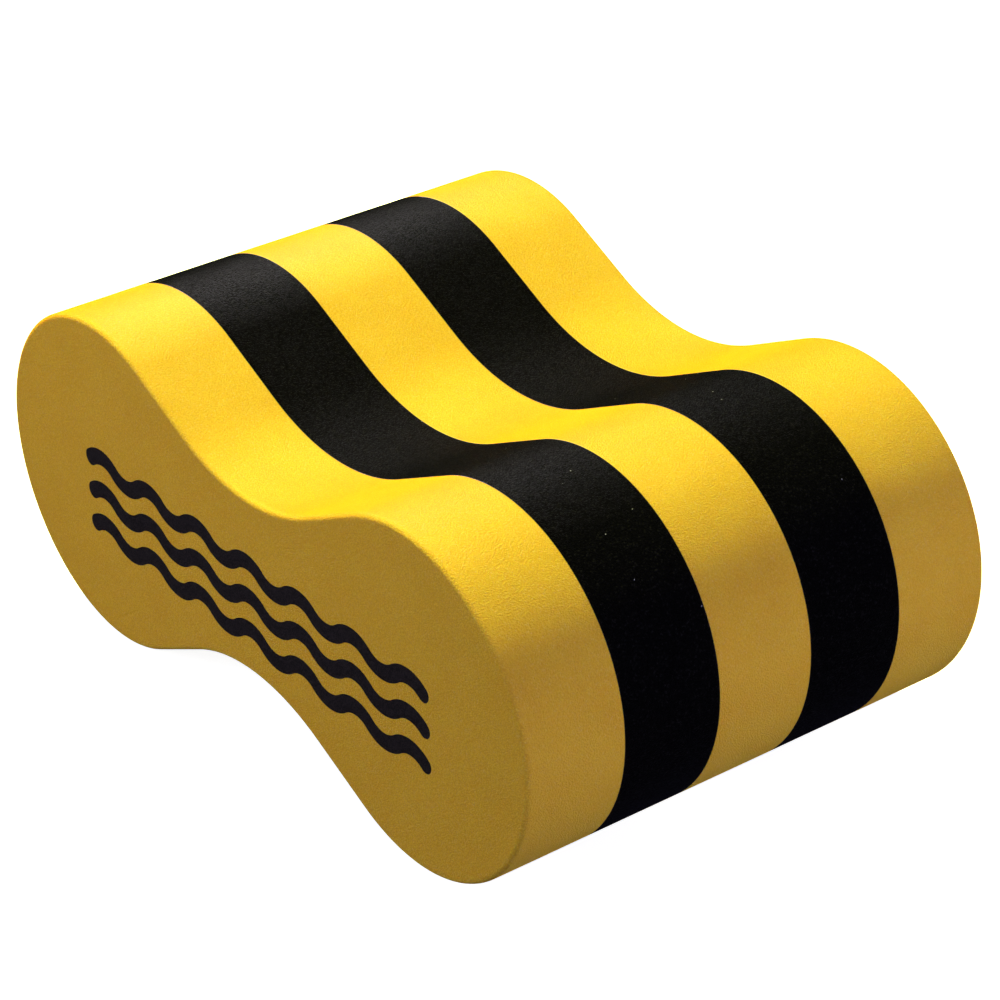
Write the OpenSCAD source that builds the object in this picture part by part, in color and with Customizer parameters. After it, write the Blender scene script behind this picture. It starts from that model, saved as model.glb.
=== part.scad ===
// Pull buoy: a swimmer's leg float, cut from a block of five glued foam sheets.
// X runs across the swimmer's legs, Y through the stack of sheets and Z up.
// The origin is on the ground, under the middle of the float.

/* [Outline] */
// Length over the two lobes
body_length = 240; // [210:1:270]
// Height of a lobe, and so of the whole float
lobe_height = 98; // [84:1:108]
// Height of the foam at the middle of the waist
waist_height = 54.5; // [44:0.5:68]
// Radius of the hollow that a thigh rests in
saddle_radius = 65; // [30:1:75]

/* [Foam stack] */
// Depth of the whole stack, from the front face to the rear face
body_depth = 150; // [100:1:200]
// Thickness of the adhesive film between two sheets
glue_depth = 0.15; // [0.1:0.05:0.4]

/* [Printed mark] */
// Number of wavy ribbons, one above the other
ribbon_count = 3; // [1:1:3]
// Number of bends in a ribbon, alternately a crest and a trough, with a crest at each end
bend_count = 13; // [3:2:15]
// Radius of a bend, along the middle of the ribbon
bend_radius = 10; // [6:1:10]
// Width of a ribbon
ribbon_width = 5; // [2:0.5:5]
// Distance from one ribbon to the next
ribbon_spacing = 10.5; // [9:0.5:11]
// How far the middle of the mark lies below the middle of the float
mark_drop = 5; // [0:1:6]
// Depth that the ink soaks into the foam
ink_depth = 0.2; // [0.1:0.05:0.4]

/* [Hidden] */
$fn = 128;

sheet_count = 5;
sheet_depth = (body_depth - (sheet_count - 1) * glue_depth) / sheet_count;
sheet_pitch = sheet_depth + glue_depth;
front_y = -body_depth / 2;

lobe_radius = lobe_height / 2;
lobe_x = body_length / 2 - lobe_radius;
half_waist = waist_height / 2;

// The widest hollow that still runs smoothly into the lobes, with no straight flank left
widest_hollow = (lobe_x ^ 2 + half_waist ^ 2 - lobe_radius ^ 2) / (2 * (lobe_radius - half_waist));
hollow_radius = min(saddle_radius, widest_hollow);
hollow_z = half_waist + hollow_radius;

// A straight flank touches the hollow's circle at its inner end and the lobe's circle
// at its outer end, so its slope follows from the line between the two centres
centre_distance = sqrt(lobe_x ^ 2 + hollow_z ^ 2);
centre_slope = atan2(hollow_z, lobe_x);
flank_slope = 90 - centre_slope - acos(min(1, (hollow_radius + lobe_radius) / centre_distance));
flank_inner = [hollow_radius * sin(flank_slope), hollow_z - hollow_radius * cos(flank_slope)];
flank_outer = [lobe_x - lobe_radius * sin(flank_slope), lobe_radius * cos(flank_slope)];

// A bend turns through the angle of a 3-4-5 triangle on each side of its middle
bend_sine = 0.6;
bend_cosine = 0.8;
bend_pitch = 2 * bend_radius * bend_sine;
bend_drop = bend_radius * bend_cosine;
bend_edge = [bend_sine, bend_cosine];
bend_heading = [bend_cosine, -bend_sine];

overshoot = 1;

// Reach of the wedge that cuts a bend out of a ring, clear of the ring's outer circle
wedge_reach = 2 * bend_radius;

foam_yellow = [1, 0.87, 0.22];
foam_black = [0.12, 0.11, 0.11];
glue_amber = [0.55, 0.45, 0.2];
ink_black = [0.05, 0.05, 0.05];

// The float's outline, centred on its own middle
module outline() {
    difference() {
        union() {
            for (side = [-1, 1])
                translate([side * lobe_x, 0]) circle(r = lobe_radius);
            polygon([
                [-flank_outer.x, -flank_outer.y],
                [-flank_inner.x, -flank_inner.y],
                [flank_inner.x, -flank_inner.y],
                [flank_outer.x, -flank_outer.y],
                [flank_outer.x, flank_outer.y],
                [flank_inner.x, flank_inner.y],
                [-flank_inner.x, flank_inner.y],
                [-flank_outer.x, flank_outer.y]
            ]);
        }
        for (side = [-1, 1])
            translate([0, side * hollow_z]) circle(r = hollow_radius);
    }
}

// Extrudes a drawing that faces the front, from a depth y towards the rear
module layer(y, depth) {
    translate([0, y + depth, lobe_radius]) rotate([90, 0, 0]) linear_extrude(depth) children();
}

function sheet_y(i) = front_y + i * sheet_pitch;

// Foam sheet number i, counted from the front
module sheet(i) {
    layer(sheet_y(i), sheet_depth) outline();
}

// Adhesive film on the rear of foam sheet number i
module glue_film(i) {
    color(glue_amber) layer(sheet_y(i) + sheet_depth, glue_depth) outline();
}

// A crest of the ribbon, drawn around the centre of its arc
module bend() {
    intersection() {
        difference() {
            circle(r = bend_radius + ribbon_width / 2);
            circle(r = bend_radius - ribbon_width / 2);
        }
        polygon([
            [0, 0],
            [wedge_reach * bend_sine, wedge_reach * bend_cosine],
            [0, 2 * wedge_reach],
            [-wedge_reach * bend_sine, wedge_reach * bend_cosine]
        ]);
    }
}

// The round end that follows a crest on its right
module ribbon_end() {
    intersection() {
        circle(r = ribbon_width / 2);
        polygon([
            ribbon_width * bend_edge,
            -ribbon_width * bend_edge,
            ribbon_width * (bend_heading - bend_edge),
            ribbon_width * (bend_heading + bend_edge)
        ]);
    }
}

module ribbon() {
    for (i = [0 : bend_count - 1]) {
        crest = i % 2 == 0;
        translate([(i - (bend_count - 1) / 2) * bend_pitch, crest ? -bend_drop : bend_drop])
            rotate(crest ? 0 : 180) bend();
    }
    for (flip = [0, 1])
        mirror([flip, 0]) translate([bend_count * bend_pitch / 2, 0]) ribbon_end();
}

// All the ribbons, from the ink's full depth out to a height above the front face
module waves(height) {
    layer(front_y - height, ink_depth + height)
        for (i = [0 : ribbon_count - 1])
            translate([0, (i - (ribbon_count - 1) / 2) * ribbon_spacing - mark_drop]) ribbon();
}

module front_slab() {
    color(foam_yellow) difference() {
        sheet(0);
        waves(overshoot);
    }
}

module front_stripe_slab() {
    color(foam_black) sheet(1);
}

module centre_slab() {
    color(foam_yellow) sheet(2);
}

module rear_stripe_slab() {
    color(foam_black) sheet(3);
}

module rear_slab() {
    color(foam_yellow) sheet(4);
}

module front_glue_film() {
    glue_film(0);
}

module front_stripe_glue_film() {
    glue_film(1);
}

module rear_stripe_glue_film() {
    glue_film(2);
}

module rear_glue_film() {
    glue_film(3);
}

module printed_waves() {
    color(ink_black) waves(0);
}

front_slab();
front_stripe_slab();
centre_slab();
rear_stripe_slab();
rear_slab();
front_glue_film();
front_stripe_glue_film();
rear_stripe_glue_film();
rear_glue_film();
printed_waves();
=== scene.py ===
"""Looks for the pull buoy: five glued foam sheets with a printed wave mark.

Everything is in metres, in the CAD frame: X along the length, Y from the printed front face to
the rear face, Z up from the ground. Each CAD node is stood for by a finer mesh of the same size,
built here, with softened edges and the slight unevenness of cut foam.
"""

import math

import bpy
import numpy as np
from mathutils import Matrix, Vector


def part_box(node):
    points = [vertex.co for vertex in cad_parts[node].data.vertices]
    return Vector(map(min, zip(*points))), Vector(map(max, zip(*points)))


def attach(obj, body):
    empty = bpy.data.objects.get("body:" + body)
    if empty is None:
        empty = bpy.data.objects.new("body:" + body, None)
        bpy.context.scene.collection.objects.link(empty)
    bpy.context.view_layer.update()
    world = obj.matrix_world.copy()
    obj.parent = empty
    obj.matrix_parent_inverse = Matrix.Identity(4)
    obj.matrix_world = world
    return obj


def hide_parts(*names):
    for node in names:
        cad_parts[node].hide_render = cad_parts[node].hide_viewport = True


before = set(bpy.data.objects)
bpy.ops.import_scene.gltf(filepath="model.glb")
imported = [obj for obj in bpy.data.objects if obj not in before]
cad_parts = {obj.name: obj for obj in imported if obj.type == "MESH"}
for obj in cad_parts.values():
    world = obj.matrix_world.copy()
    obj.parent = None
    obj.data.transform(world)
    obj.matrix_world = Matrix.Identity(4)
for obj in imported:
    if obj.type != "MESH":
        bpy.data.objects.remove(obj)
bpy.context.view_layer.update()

MM = 0.001

# Outline of the float. Its length and height come from the CAD box.
WAIST_HEIGHT = 54.5 * MM
HOLLOW_RADIUS = 65.0 * MM
END_EDGE_RADIUS = 1.4 * MM
JOINT_EDGE_RADIUS = 0.05 * MM
FILM_RECESS = 0.02 * MM
FILM_EDGE_SHARE = 1 / 5

# Mesh density
QUARTER_STEPS = 220
SIDE_STEP = 0.75 * MM
EDGE_STEPS = 6
JOINT_EDGE_STEPS = 2
END_FACE_ROWS = 100
HIDDEN_FACE_ROWS = 24

# Unevenness of the cut foam, as a sum of seeded waves. On an end face it fades out at the rim.
RELIEF_SEED = 7
RELIEF_WAVES = 48
RELIEF_HEIGHT = 0.05 * MM
RELIEF_SWING = 1.5
RELIEF_LONGEST = 45.0 * MM
RELIEF_SHORTEST = 7.0 * MM
RELIEF_RIM_SHARE = 1 / 8

# Printed mark
RIBBON_COUNT = 3
BEND_COUNT = 13
BEND_RADIUS = 10.0 * MM
BEND_SINE = 0.6
RIBBON_WIDTH = 5.0 * MM
RIBBON_SPACING = 10.5 * MM
MARK_DROP = 5.0 * MM
INK_PROUD = 0.02 * MM
INK_DEPTH = 0.2 * MM
INK_STEP = 0.4 * MM
INK_COLUMNS = 10
INK_END_STEPS = 8

# Texture of cut foam, which also shows through the print on it
CELL_SIZE = 0.42 * MM
CELL_RIM = (0.05, 0.75)
CELL_SINK = 0.6
FIBRE_SIZE = 0.55 * MM
FIBRE_RISE = 0.7

# Tone of the foam, from 0 for its deep colour to 1 for its pale one, and what varies it
MIDDLE_TONE = 0.33
MOTTLE_SIZE = 16.0 * MM
MOTTLE_TONE = 0.35
CELL_TONE = 0.4
FIBRE_TONE = 0.55
END_FACE_CONTRAST = 1.8
FIBRE_ROUGHNESS = 0.25
BRIGHT_CELLS = (0.86, 0.99)

# Stray specks, each in the middle of a large cell, and only in some of those cells
SPECK_SPACING = 5.0 * MM
SPECK_EDGE = (0.02, 0.045)
SPECK_CHOICE = 0.6

# Glancing angles, from 0 where a side faces the viewer to 1 where it turns away
# The next two set where painted shade fades in on upward sides seen at a glancing angle
TOP_SHADE_GLANCES = (0.3, 0.82)
TOP_SHADE_SLOPES = (-0.35, 0.3)
GLOSS_FADE = 2.5

low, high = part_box("centre_slab")
half_length = (high.x - low.x) / 2
lobe_radius = (high.z - low.z) / 2
middle_z = (high.z + low.z) / 2


# ---------------------------------------------------------------- outline

lobe_x = half_length - lobe_radius
hollow_z = WAIST_HEIGHT / 2 + HOLLOW_RADIUS
centre_distance = math.hypot(lobe_x, hollow_z)
flank_slope = (
    math.pi / 2
    - math.atan2(hollow_z, lobe_x)
    - math.acos((HOLLOW_RADIUS + lobe_radius) / centre_distance)
)
flank_normal = np.array([-math.sin(flank_slope), math.cos(flank_slope)])
flank_outer = np.array([lobe_x, 0.0]) + lobe_radius * flank_normal
flank_inner = np.array([0.0, hollow_z]) - HOLLOW_RADIUS * flank_normal
flank_length = float(np.linalg.norm(flank_outer - flank_inner))
lobe_arc = lobe_radius * (math.pi / 2 + flank_slope)
hollow_arc = HOLLOW_RADIUS * flank_slope


def quarter_outline():
    """Points and outward normals from the right tip up and over to the middle of the waist."""
    s = np.linspace(0.0, lobe_arc + flank_length + hollow_arc, QUARTER_STEPS + 1)
    points = np.zeros((len(s), 2))
    normals = np.zeros((len(s), 2))
    on_lobe = s <= lobe_arc
    turn = s[on_lobe] / lobe_radius
    normals[on_lobe] = np.column_stack([np.cos(turn), np.sin(turn)])
    points[on_lobe] = np.array([lobe_x, 0.0]) + lobe_radius * normals[on_lobe]
    on_hollow = s >= lobe_arc + flank_length
    turn = (s[-1] - s[on_hollow]) / HOLLOW_RADIUS
    normals[on_hollow] = np.column_stack([-np.sin(turn), np.cos(turn)])
    points[on_hollow] = np.array([0.0, hollow_z]) - HOLLOW_RADIUS * normals[on_hollow]
    on_flank = ~(on_lobe | on_hollow)
    share = ((s[on_flank] - lobe_arc) / flank_length)[:, None]
    points[on_flank] = flank_outer + share * (flank_inner - flank_outer)
    normals[on_flank] = flank_normal
    return points, normals


def whole_outline():
    """The closed outline, anticlockwise from the right tip, with its outward normals."""
    points, normals = quarter_outline()
    flip = np.array([-1.0, 1.0])
    upper_points = np.vstack([points, (points * flip)[-2::-1]])
    upper_normals = np.vstack([normals, (normals * flip)[-2::-1]])
    points = np.vstack([upper_points, (upper_points * -flip)[-2:0:-1]])
    normals = np.vstack([upper_normals, (upper_normals * -flip)[-2:0:-1]])
    return points, normals


outline, outline_normals = whole_outline()


def make_relief():
    """The unevenness of the foam, as a function of place."""
    rng = np.random.default_rng(RELIEF_SEED)
    directions = rng.normal(size=(RELIEF_WAVES, 3))
    directions /= np.linalg.norm(directions, axis=1)[:, None]
    lengths = np.exp(rng.uniform(math.log(RELIEF_SHORTEST), math.log(RELIEF_LONGEST), RELIEF_WAVES))
    vectors = directions * (2 * math.pi / lengths)[:, None]
    phases = rng.uniform(0, 2 * math.pi, RELIEF_WAVES)
    weights = lengths / lengths.sum()

    def relief(places):
        """How far cut foam lies below its true surface at each place, from 0 to RELIEF_HEIGHT."""
        waves = np.sin(places @ vectors.T + phases) @ weights
        return RELIEF_HEIGHT * (0.5 - RELIEF_SWING * waves).clip(0, 1)

    return relief


relief = make_relief()


# ---------------------------------------------------------------- meshes


def edge_profile(radius, steps):
    """(depth, inset) pairs of a rounded edge, from the end face to the side."""
    turns = np.linspace(0, math.pi / 2, steps + 1)
    return [(radius * (1 - math.sin(t)), radius * (1 - math.cos(t))) for t in turns[::-1]]


def slab_stations(front, rear, front_edge, rear_edge):
    """(y, inset) of every ring of points along a slab's side, from front to rear."""
    front_steps = EDGE_STEPS if front_edge > JOINT_EDGE_RADIUS else JOINT_EDGE_STEPS
    rear_steps = EDGE_STEPS if rear_edge > JOINT_EDGE_RADIUS else JOINT_EDGE_STEPS
    side_length = rear - front - front_edge - rear_edge
    steps = math.ceil(side_length / SIDE_STEP)
    stations = [(front + d, i) for d, i in edge_profile(front_edge, front_steps)]
    stations += [(front + front_edge + side_length * k / steps, 0.0) for k in range(1, steps)]
    stations += [(rear - d, i) for d, i in reversed(edge_profile(rear_edge, rear_steps))]
    return stations


def ring(y, inset):
    """Points around the outline at one depth, drawn in by inset and by the foam's unevenness."""
    flat = outline - inset * outline_normals
    places = np.column_stack([flat[:, 0], np.full(len(flat), y), flat[:, 1] + middle_z])
    outward = np.column_stack([outline_normals[:, 0], np.zeros(len(flat)), outline_normals[:, 1]])
    return places - relief(places)[:, None] * outward


def face_columns(edge_points, rows, inward_y, with_relief):
    """Inner points of a face, in columns from the upper half of its edge to the lower half.

    The tips of the two lobes are single points of the edge, and have no column.
    """
    count = len(edge_points)
    half = count // 2
    shares = np.linspace(0, 1, rows + 1)[1:-1]
    upper = edge_points[1:half, None, :]
    lower = edge_points[count - 1 : half : -1, None, :]
    inner = upper * (1 - shares)[None, :, None] + lower * shares[None, :, None]
    if with_relief:
        fade = np.minimum(1, np.minimum(shares, 1 - shares) / RELIEF_RIM_SHARE)[None, :, None]
        push = relief(inner.reshape(-1, 3)).reshape(inner.shape[0], inner.shape[1], 1) * fade
        inner = inner + push * np.array([0.0, inward_y, 0.0])
    return inner


def add_piece(name, points, faces, smooth):
    """A mesh object in the scene, from lists of point arrays and of faces."""
    mesh = bpy.data.meshes.new(name)
    mesh.from_pydata(np.vstack(points).tolist(), [], faces)
    mesh.validate()
    mesh.update()
    if smooth:
        mesh.shade_smooth()
    piece = bpy.data.objects.new(name, mesh)
    bpy.context.scene.collection.objects.link(piece)
    return piece


def build_slab(name, front, rear, front_edge, rear_edge, inset=0.0):
    """A closed slab of the float's outline between two depths, with softened edges."""
    stations = slab_stations(front, rear, front_edge, rear_edge)
    count = len(outline)
    half = count // 2
    points = [ring(y, i + inset) for y, i in stations]
    total = count * len(stations)
    faces = []
    for a in range(0, total - count, count):
        b = a + count
        faces += [(a + i, b + i, b + (i + 1) % count, a + (i + 1) % count) for i in range(count)]
    for first, edge_points, edge, inward_y in (
        (0, points[0], front_edge, 1.0),
        (total - count, points[-1], rear_edge, -1.0),
    ):
        at_end = edge > JOINT_EDGE_RADIUS
        rows = END_FACE_ROWS if at_end else HIDDEN_FACE_ROWS
        inner = face_columns(edge_points, rows, inward_y, at_end)
        grid = np.empty((half + 1, rows + 1), int)
        grid[0, :] = first
        grid[half, :] = first + half
        grid[1:half, 0] = first + np.arange(1, half)
        grid[1:half, rows] = first + count - np.arange(1, half)
        added = (half - 1) * (rows - 1)
        grid[1:half, 1:rows] = total + np.arange(added).reshape(half - 1, rows - 1)
        total += added
        points.append(inner.reshape(-1, 3))
        for i in range(half):
            for j in range(rows):
                corners = [grid[i, j], grid[i + 1, j], grid[i + 1, j + 1], grid[i, j + 1]]
                corners = list(dict.fromkeys(int(c) for c in corners))
                faces.append(tuple(corners if inward_y > 0 else corners[::-1]))
    return add_piece(name, points, faces, smooth=True)


def ribbon_path():
    """Middle line of a wavy ribbon, and its sideways direction, along its whole length."""
    half_angle = math.asin(BEND_SINE)
    pitch = 2 * BEND_RADIUS * BEND_SINE
    drop = BEND_RADIUS * math.cos(half_angle)
    steps = round(2 * half_angle * BEND_RADIUS / INK_STEP)
    middle, sideways = [], []
    for bend in range(BEND_COUNT):
        side = 1 if bend % 2 == 0 else -1
        centre = np.array([(bend - (BEND_COUNT - 1) / 2) * pitch, -side * drop])
        for k in range(steps + (bend == BEND_COUNT - 1)):
            turn = -half_angle + 2 * half_angle * k / steps
            up = np.array([math.sin(turn), side * math.cos(turn)])
            middle.append(centre + BEND_RADIUS * up)
            sideways.append(up * side)
    return np.array(middle), np.array(sideways)


def ribbon_rows():
    """Points of a flat ribbon with round ends, in rows across it, as (rows, columns, 2)."""
    middle, sideways = ribbon_path()
    columns = np.linspace(-1, 1, INK_COLUMNS + 1)
    rows = [m + RIBBON_WIDTH / 2 * columns[:, None] * s for m, s in zip(middle, sideways)]
    for end in (0, -1):
        m, s = middle[end], sideways[end]
        heading = np.array([s[1], -s[0]]) * (-1 if end == 0 else 1)
        cap = []
        for k in range(1, INK_END_STEPS):
            reach = math.sin(math.pi / 2 * k / INK_END_STEPS)
            width = math.sqrt(1 - reach**2)
            cap.append(m + RIBBON_WIDTH / 2 * (reach * heading + width * columns[:, None] * s))
        rows = cap[::-1] + rows if end == 0 else rows + cap
    return np.array(rows)


def build_mark(name, front):
    """The wavy ribbons of ink, just proud of the front face and following its unevenness."""
    points, faces = [], []
    rows = ribbon_rows()
    count, width = rows.shape[:2]
    for r in range(RIBBON_COUNT):
        shift = (r - (RIBBON_COUNT - 1) / 2) * RIBBON_SPACING - MARK_DROP
        flat = rows.reshape(-1, 2) + np.array([0.0, shift])
        places = np.column_stack([flat[:, 0], np.full(len(flat), front), flat[:, 1] + middle_z])
        top = places + np.outer(relief(places) - INK_PROUD, (0.0, 1.0, 0.0))
        bottom = places + np.array([0.0, INK_DEPTH, 0.0])
        base = sum(len(p) for p in points)
        points += [top, bottom]
        under = base + len(top)
        for i in range(count - 1):
            for j in range(width - 1):
                a = i * width + j
                b = a + width
                quad = [a, b, b + 1, a + 1]
                faces.append(tuple(base + q for q in quad))
                faces.append(tuple(under + q for q in reversed(quad)))
        rim = [i * width for i in range(count)]
        rim += [(count - 1) * width + j for j in range(1, width)]
        rim += [i * width + width - 1 for i in range(count - 2, -1, -1)]
        rim += [j for j in range(width - 2, 0, -1)]
        for a, b in zip(rim, rim[1:] + rim[:1]):
            faces.append((base + b, base + a, under + a, under + b))
    return add_piece(name, points, faces, smooth=False)


# ---------------------------------------------------------------- materials


class Graph:
    """A material's node tree, with short calls to add and join nodes."""

    def __init__(self, name):
        self.material = bpy.data.materials.new(name)
        self.material.use_nodes = True
        self.nodes = self.material.node_tree.nodes
        self.links = self.material.node_tree.links
        self.nodes.clear()

    def add(self, kind, inputs=None, **settings):
        node = self.nodes.new(kind)
        for key, value in settings.items():
            setattr(node, key, value)
        for key, value in (inputs or {}).items():
            if isinstance(value, bpy.types.NodeSocket):
                self.links.new(value, node.inputs[key])
            else:
                node.inputs[key].default_value = value
        return node

    def maths(self, operation, a, b=0.0, clamp=False):
        return self.add("ShaderNodeMath", {0: a, 1: b}, operation=operation, use_clamp=clamp).outputs[0]

    def ramp(self, value, low, high, to_low=0.0, to_high=1.0):
        node = self.add(
            "ShaderNodeMapRange",
            {"Value": value, "From Min": low, "From Max": high, "To Min": to_low, "To Max": to_high},
            interpolation_type="SMOOTHSTEP",
        )
        return node.outputs[0]

    def mix(self, share, a, b, blend="MIX"):
        node = self.add("ShaderNodeMix", data_type="RGBA", blend_type=blend)
        for key, value in (("Factor_Float", share), ("A_Color", a), ("B_Color", b)):
            socket = next(s for s in node.inputs if s.identifier == key)
            if isinstance(value, bpy.types.NodeSocket):
                self.links.new(value, socket)
            else:
                socket.default_value = value
        return next(s for s in node.outputs if s.identifier == "Result_Color")

    def place(self):
        return self.add("ShaderNodeTexCoord").outputs["Object"]

    def noise(self, place, size, detail=2.0):
        node = self.add("ShaderNodeTexNoise", {"Vector": place, "Scale": 1 / size, "Detail": detail})
        return node.outputs["Fac"]

    def cells(self, place, size):
        return self.add("ShaderNodeTexVoronoi", {"Vector": place, "Scale": 1 / size})

    def channels(self, colour):
        return self.add("ShaderNodeSeparateColor", {"Color": colour}).outputs

    def uneven(self, value, share):
        """A value's swing around one half, scaled."""
        return self.maths("MULTIPLY", self.maths("SUBTRACT", value, 0.5), share)

    def bump(self, height, distance, strength=1.0):
        node = self.add("ShaderNodeBump", {"Strength": strength, "Distance": distance, "Height": height})
        return node.outputs["Normal"]

    def principled(self, inputs):
        return self.finish(self.add("ShaderNodeBsdfPrincipled", inputs).outputs[0])

    def finish(self, shader):
        self.add("ShaderNodeOutputMaterial", {"Surface": shader})
        return self.material


def foam_texture(g):
    """The foam's pattern: place, cells, distance from a cell's middle, fibres, and surface height."""
    place = g.place()
    cells = g.cells(place, CELL_SIZE)
    grain = g.ramp(cells.outputs["Distance"], *CELL_RIM)
    fibre = g.noise(place, FIBRE_SIZE)
    height = g.maths("ADD", g.maths("MULTIPLY", grain, -CELL_SINK), g.maths("MULTIPLY", fibre, FIBRE_RISE))
    return place, cells, grain, fibre, height


def foam(name, pale, deep, top_shade_tint, grain_depth, speck, dust, scatter, sheen, gloss, sparkle, roughness):
    """Cut closed-cell foam: fine cells, faint mottling, a soft sheen and a few stray specks.

    The grain has more contrast on the end faces. At glancing angles the gloss fades, and sides that
    face up get painted shade: their colour is multiplied by the darker, warmer top shade tint.
    """
    g = Graph(name)
    place, cells, grain, fibre, height = foam_texture(g)
    normal = g.add("ShaderNodeSeparateXYZ", {"Vector": g.add("ShaderNodeNewGeometry").outputs["Normal"]})
    glancing = g.add("ShaderNodeLayerWeight", {"Blend": 0.5}).outputs["Facing"]

    on_end_face = g.maths("ABSOLUTE", normal.outputs["Y"])
    contrast = g.ramp(on_end_face, 0.0, 1.0, 1.0, END_FACE_CONTRAST)
    detail = g.maths("ADD", g.uneven(grain, -CELL_TONE), g.uneven(fibre, FIBRE_TONE))
    detail = g.maths("MULTIPLY", detail, contrast)
    mottle = g.noise(place, MOTTLE_SIZE)
    tone = g.maths("ADD", g.uneven(mottle, MOTTLE_TONE), MIDDLE_TONE)
    tone = g.maths("ADD", tone, detail, clamp=True)
    colour = g.mix(tone, deep, pale)

    cell_channels = g.channels(cells.outputs["Color"])
    bright_cell = g.ramp(cell_channels[0], *BRIGHT_CELLS)
    colour = g.mix(g.maths("MULTIPLY", bright_cell, speck["share"]), colour, speck["colour"])
    stray = g.cells(place, SPECK_SPACING)
    near = g.ramp(stray.outputs["Distance"], *SPECK_EDGE, 1.0, 0.0)
    chosen = g.maths("GREATER_THAN", g.channels(stray.outputs["Color"])[1], SPECK_CHOICE)
    colour = g.mix(g.maths("MULTIPLY", near, chosen), colour, dust)
    # Painted shade: upward sides seen at a glancing angle are darkened towards the top shade tint, toning
    # down their lit tops
    upward = g.ramp(normal.outputs["Z"], *TOP_SHADE_SLOPES)
    painted_top_shade = g.maths("MULTIPLY", g.ramp(glancing, *TOP_SHADE_GLANCES), upward)
    colour = g.mix(painted_top_shade, colour, top_shade_tint, "MULTIPLY")

    cell_gloss = g.ramp(cell_channels[1], 0.0, 1.0, gloss * (1 - sparkle), gloss * (1 + sparkle))
    fade = g.maths("POWER", g.maths("SUBTRACT", 1.0, glancing), GLOSS_FADE)
    return g.principled(
        {
            "Base Color": colour,
            "Roughness": g.maths("ADD", g.uneven(fibre, FIBRE_ROUGHNESS), roughness),
            "Specular IOR Level": g.maths("MULTIPLY", cell_gloss, fade),
            "Subsurface Weight": scatter["weight"],
            "Subsurface Radius": scatter["radius"],
            "Subsurface Scale": scatter["scale"],
            "Sheen Weight": sheen["weight"],
            "Sheen Roughness": sheen["roughness"],
            "Sheen Tint": sheen["tint"],
            "Normal": g.bump(height, grain_depth),
        }
    )


def ink(name):
    """Matte black ink that lets the foam's grain show through."""
    g = Graph(name)
    _, _, grain, fibre, height = foam_texture(g)
    cover = g.maths("ADD", g.maths("SUBTRACT", fibre, grain), 0.5, clamp=True)
    colour = g.mix(cover, (0.008, 0.006, 0.004, 1), (0.046, 0.034, 0.022, 1))
    relief_normal = g.bump(height, 0.05 * MM, strength=0.8)
    return g.principled({"Base Color": colour, "Roughness": 0.6, "Normal": relief_normal})


def adhesive(name):
    """Dried contact adhesive, dark amber and slightly shiny."""
    g = Graph(name)
    blobs = g.noise(g.place(), 1.5 * MM)
    colour = g.mix(blobs, (0.03, 0.02, 0.008, 1), (0.09, 0.055, 0.015, 1))
    rough = g.ramp(blobs, 0.3, 0.7, 0.35, 0.6)
    return g.principled({"Base Color": colour, "Roughness": rough, "Normal": g.bump(blobs, 0.03 * MM)})


yellow_foam = foam(
    "yellow_foam",
    pale=(1.0, 0.655, 0.045, 1),
    deep=(0.77, 0.405, 0.022, 1),
    # Painted shade tint for lit upward sides seen at a glancing angle
    top_shade_tint=(0.95, 0.64, 0.35, 1),
    grain_depth=0.25 * MM,
    speck={"share": 0.12, "colour": (1.0, 0.8, 0.3, 1)},
    dust=(0.55, 0.36, 0.05, 1),
    scatter={"weight": 0.4, "radius": (1.0, 0.55, 0.12), "scale": 0.6 * MM},
    sheen={"weight": 0.012, "roughness": 0.4, "tint": (1.0, 0.97, 0.9, 1)},
    gloss=0.28,
    sparkle=0.3,
    roughness=0.62,
)
black_foam = foam(
    "black_foam",
    pale=(0.0032, 0.0028, 0.0016, 1),
    deep=(0.001, 0.0009, 0.0006, 1),
    # White, so the black foam gets no painted shade
    top_shade_tint=(1.0, 1.0, 1.0, 1),
    grain_depth=0.22 * MM,
    speck={"share": 0.6, "colour": (0.012, 0.011, 0.007, 1)},
    dust=(0.35, 0.33, 0.3, 1),
    scatter={"weight": 0.0, "radius": (1.0, 1.0, 1.0), "scale": 0.1 * MM},
    sheen={"weight": 0.01, "roughness": 0.45, "tint": (1.0, 0.95, 0.95, 1)},
    gloss=0.062,
    sparkle=0.75,
    roughness=0.54,
)
black_ink = ink("black_ink")
glue = adhesive("adhesive")


# ---------------------------------------------------------------- pieces


def stand_for(piece, node, material):
    """Puts a piece in the place of its CAD node."""
    piece.data.materials.append(material)
    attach(piece, "root")
    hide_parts(node)


FOAM_SHEETS = [
    ("front_slab", "yellow_foam", yellow_foam, END_EDGE_RADIUS, JOINT_EDGE_RADIUS),
    ("front_stripe_slab", "black_foam", black_foam, JOINT_EDGE_RADIUS, JOINT_EDGE_RADIUS),
    ("centre_slab", "yellow_foam", yellow_foam, JOINT_EDGE_RADIUS, JOINT_EDGE_RADIUS),
    ("rear_stripe_slab", "black_foam", black_foam, JOINT_EDGE_RADIUS, JOINT_EDGE_RADIUS),
    ("rear_slab", "yellow_foam", yellow_foam, JOINT_EDGE_RADIUS, END_EDGE_RADIUS),
]
for node, slot, material, front_edge, rear_edge in FOAM_SHEETS:
    near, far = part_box(node)
    sheet = build_slab(node + "_foam", near.y, far.y, front_edge, rear_edge)
    stand_for(sheet, node, material)

for node in ("front_glue_film", "front_stripe_glue_film", "rear_stripe_glue_film", "rear_glue_film"):
    near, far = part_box(node)
    edge = (far.y - near.y) * FILM_EDGE_SHARE
    film = build_slab(node + "_line", near.y, far.y, edge, edge, FILM_RECESS)
    stand_for(film, node, glue)

mark = build_mark("printed_waves_ink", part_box("printed_waves")[0].y)
stand_for(mark, "printed_waves", black_ink)


# ---------------------------------------------------------------- stage

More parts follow.
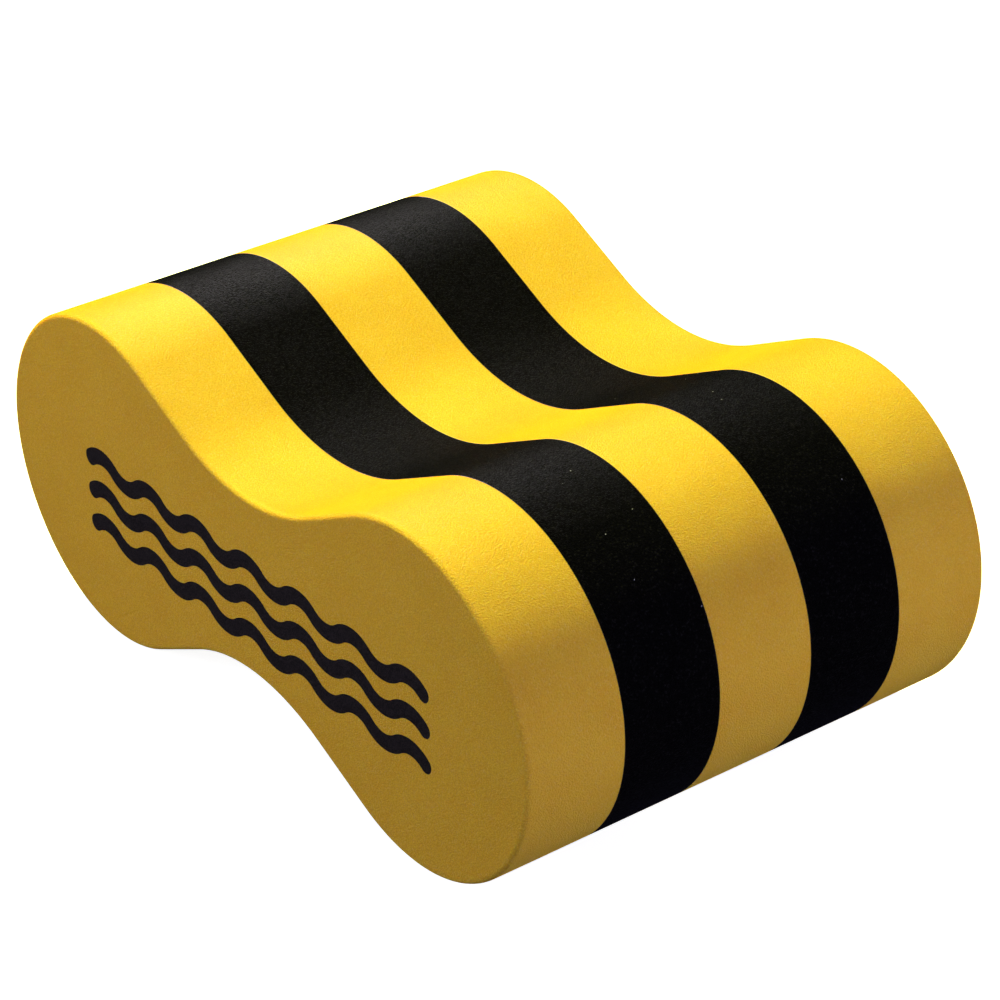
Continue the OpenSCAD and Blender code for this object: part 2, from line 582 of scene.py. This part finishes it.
AIM = Vector((4.2, 4.8, 48.1)) * MM
CAMERA_DISTANCE = 940.8 * MM
CAMERA_AZIMUTH = math.radians(53.44)
CAMERA_ELEVATION = math.radians(29.56)
CAMERA_ROLL = math.radians(1.38)
CAMERA_LENS = 123.9

# Lamps: name, azimuth and elevation in degrees, distance, size, watts, colour, whether it lights
# matt surfaces, whether it shows in reflections
LAMPS = [
    ("key", -92, 55, 2.0, 0.4, 87, (0.88, 1.0, 0.25), True, False),
    ("front_fill", -16, 18, 0.7, 0.5, 2.1, (1.0, 1.1, 2.1), True, False),
    ("right_fill", 106, 8, 0.8, 0.6, 3.12, (1.0, 1.0, 2.1), True, False),
    ("camera_fill", 48, 10, 1.2, 0.6, 0.8, (1.0, 1.0, 2.1), True, False),
    ("rear_fill", -170, 8, 1.2, 0.9, 6, (1.0, 1.0, 2.1), True, False),
    ("key_sheen", -92, 60, 2.0, 0.4, 12, (1.0, 0.93, 0.93), False, True),
    ("rim_sheen", -110, 25, 2.0, 0.25, 17, (1.0, 0.93, 0.93), False, True),
    ("left_sheen", -115, 18, 0.4, 0.15, 0.9, (1.0, 0.93, 0.93), False, True),
]
WORLD_STRENGTH = 0.02
BACKDROP_STRENGTH = 1.0
FLOOR_GLOW = 0.88
FLOOR_REACH = 4.0


def direction(azimuth, elevation):
    """Unit vector from the object towards a viewer or a lamp at these angles."""
    flat = math.cos(elevation)
    return Vector((math.sin(azimuth) * flat, -math.cos(azimuth) * flat, math.sin(elevation)))


def facing_back(back):
    """Rotation of a camera or lamp that stands in a direction and looks back at the object."""
    return (-back).to_track_quat("-Z", "Y").to_matrix().to_4x4()


def add_camera():
    data = bpy.data.cameras.new("camera")
    data.lens = CAMERA_LENS
    data.sensor_width = 36
    camera = bpy.data.objects.new("camera", data)
    back = direction(CAMERA_AZIMUTH, CAMERA_ELEVATION)
    turn = facing_back(back) @ Matrix.Rotation(-CAMERA_ROLL, 4, "Z")
    camera.matrix_world = Matrix.Translation(AIM + back * CAMERA_DISTANCE) @ turn
    bpy.context.scene.collection.objects.link(camera)
    bpy.context.scene.camera = camera


def add_lamp(name, azimuth, elevation, distance, size, power, colour, lights_matt, in_reflections):
    data = bpy.data.lights.new(name, "AREA")
    data.shape = "DISK"
    data.size = size
    data.energy = power
    data.color = colour
    lamp = bpy.data.objects.new(name, data)
    back = direction(math.radians(azimuth), math.radians(elevation))
    stand = Vector((0, 0, middle_z)) + back * distance
    lamp.matrix_world = Matrix.Translation(stand) @ facing_back(back)
    lamp.visible_diffuse = lights_matt
    lamp.visible_glossy = in_reflections
    bpy.context.scene.collection.objects.link(lamp)


def add_floor():
    """A pale floor, lit like a light table so that shadows on it stay faint, and clear from below."""
    g = Graph("floor")
    tint = g.noise(g.place(), 0.4, 1.0)
    colour = g.mix(tint, (0.86, 0.84, 0.45, 1), (0.9, 0.88, 0.48, 1))
    matt = g.add("ShaderNodeBsdfDiffuse", {"Color": colour})
    glow = g.add("ShaderNodeEmission", {"Color": (1, 1, 1, 1), "Strength": FLOOR_GLOW})
    lit = g.add("ShaderNodeAddShader", {0: matt.outputs[0], 1: glow.outputs[0]})
    clear = g.add("ShaderNodeBsdfTransparent")
    from_below = g.add("ShaderNodeNewGeometry").outputs["Backfacing"]
    shader = g.add("ShaderNodeMixShader", {0: from_below, 1: lit.outputs[0], 2: clear.outputs[0]})
    reach = FLOOR_REACH
    corners = [(-reach, -reach, 0), (reach, -reach, 0), (reach, reach, 0), (-reach, reach, 0)]
    mesh = bpy.data.meshes.new("floor")
    mesh.from_pydata(corners, [], [(0, 1, 2, 3)])
    mesh.materials.append(g.finish(shader.outputs[0]))
    floor = bpy.data.objects.new("floor", mesh)
    floor.visible_diffuse = False
    floor.visible_glossy = False
    bpy.context.scene.collection.objects.link(floor)


def add_world():
    """A faint even light, behind which the camera sees a white backdrop."""
    world = bpy.data.worlds.new("studio")
    world.use_nodes = True
    world.cycles_visibility.glossy = False
    nodes, links = world.node_tree.nodes, world.node_tree.links
    light = nodes["Background"]
    light.inputs["Color"].default_value = (1, 1, 1, 1)
    light.inputs["Strength"].default_value = WORLD_STRENGTH
    backdrop = nodes.new("ShaderNodeBackground")
    backdrop.inputs["Color"].default_value = (1, 1, 1, 1)
    backdrop.inputs["Strength"].default_value = BACKDROP_STRENGTH
    path = nodes.new("ShaderNodeLightPath")
    shown = nodes.new("ShaderNodeMixShader")
    links.new(path.outputs["Is Camera Ray"], shown.inputs[0])
    links.new(light.outputs[0], shown.inputs[1])
    links.new(backdrop.outputs[0], shown.inputs[2])
    links.new(shown.outputs[0], nodes["World Output"].inputs["Surface"])
    bpy.context.scene.world = world


add_camera()
add_floor()
add_world()
for lamp in LAMPS:
    add_lamp(*lamp)
bpy.context.scene.view_settings.view_transform = "Standard"
